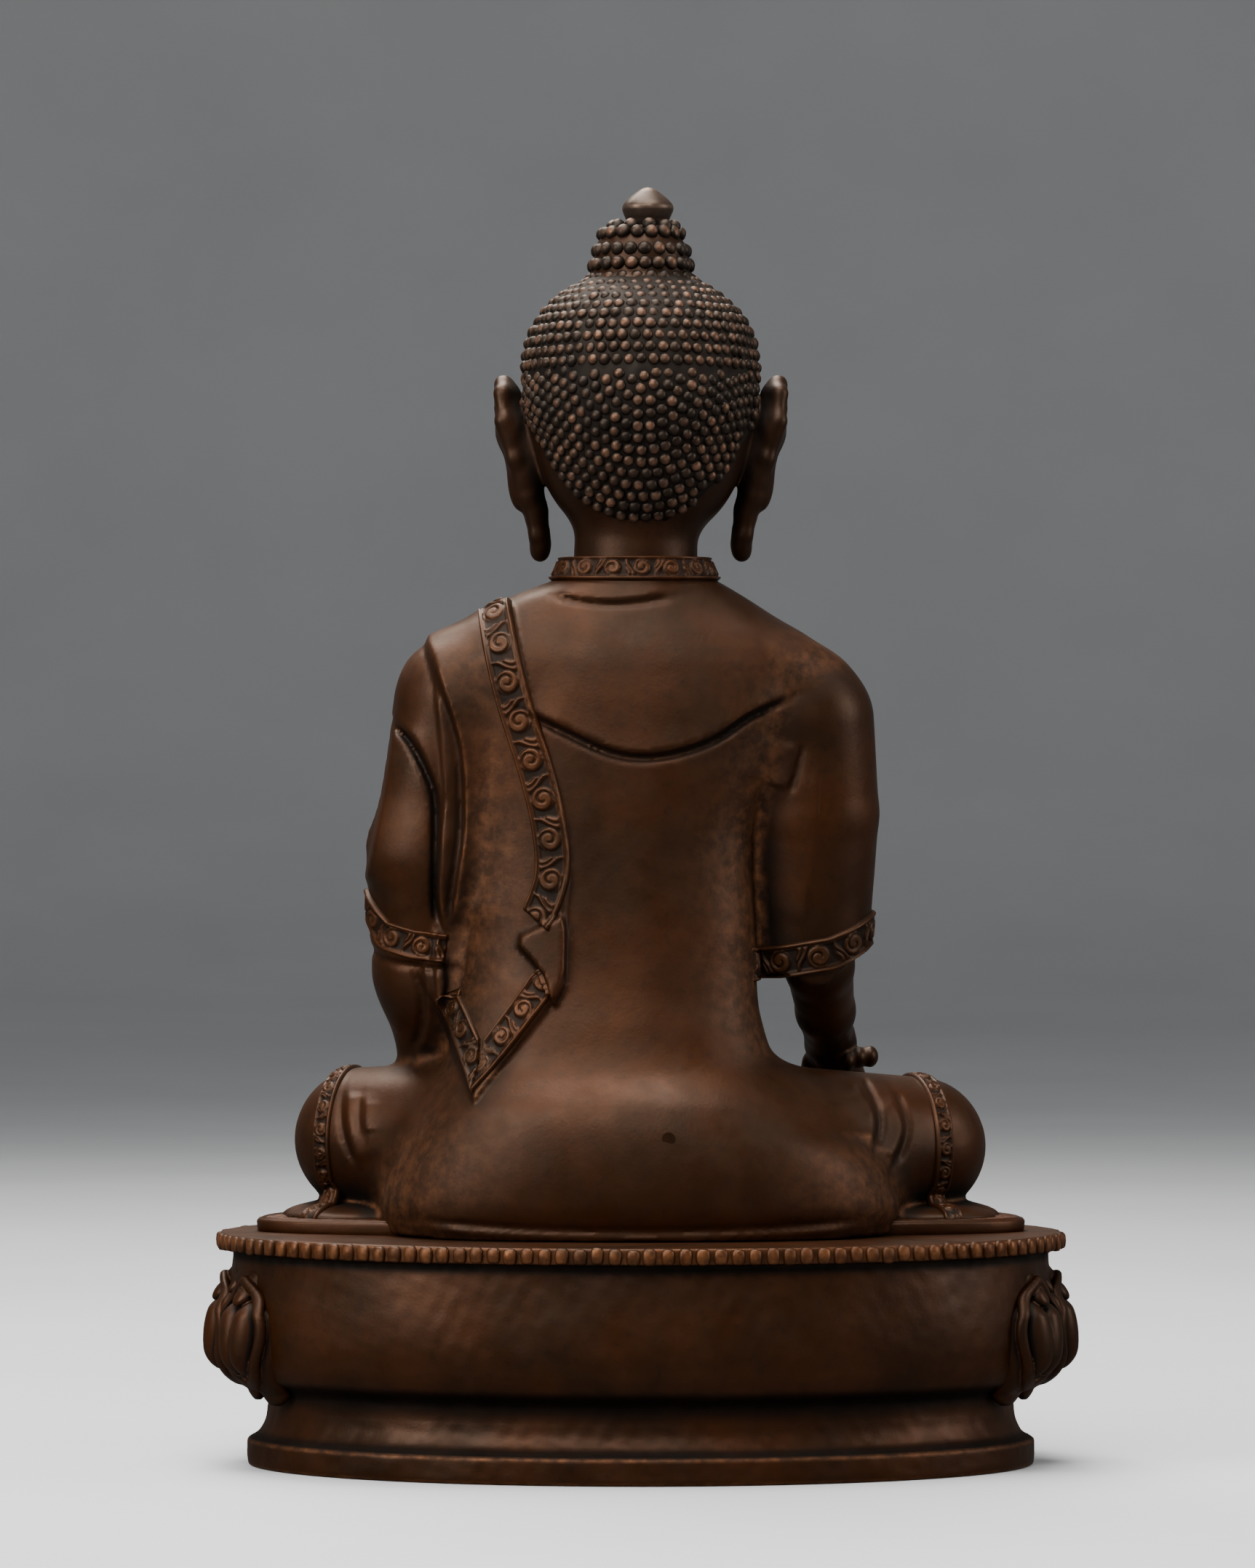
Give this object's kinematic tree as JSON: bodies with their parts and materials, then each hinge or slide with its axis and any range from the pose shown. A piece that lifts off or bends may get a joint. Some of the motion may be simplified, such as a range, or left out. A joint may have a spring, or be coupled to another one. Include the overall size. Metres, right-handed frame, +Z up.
{
  "type": "buddha statue",
  "caption": "Seated Buddha statue in dark oxidised copper, earth-touching gesture, curled hair, bordered robe, on an oval lotus pedestal with beaded rim, with a lift-out alms bowl.",
  "frame": {"origin": "centre of the bounding box at the bottom of the pedestal's foot", "axes": "+Z up, the figure faces -Y, its right hand is on the -X side"},
  "size_m": [0.1508, 0.0998, 0.22],
  "materials": {
    "oxidised_copper": "dark chocolate-brown oxidised patina, satin, with bare copper on worn edges",
    "oxidised_hair": "greyish black-brown patina in the curls, with coppery tops",
    "bare_copper": "hammered bare copper sheet, dull",
    "pole_wood": "red-stained sandalwood",
    "mantra_paper": "saffron-dyed rolled paper"
  },
  "bodies": {
    "statue": {"pedestal_casting": "oxidised_copper", "base_plate": "bare_copper", "pedestal_mantra_rolls": "mantra_paper", "figure_casting": "oxidised_copper", "head_casting": "oxidised_hair", "right_forearm": "oxidised_copper", "left_forearm": "oxidised_copper", "crown_finial": "oxidised_copper", "neck_pins": "bare_copper", "sleeve_pins": "bare_copper", "lug_wedges": "bare_copper", "core_plugs": "oxidised_copper", "life_tree": "pole_wood", "torso_mantra_rolls": "mantra_paper"},
    "bowl": {"alms_bowl": "oxidised_copper"}
  },
  "joints": [
    {"name": "bowl_lift", "type": "slide", "parent": "statue", "child": "bowl", "axis": [0, 0, 1], "range_m": [0, 0.06]}
  ]
}
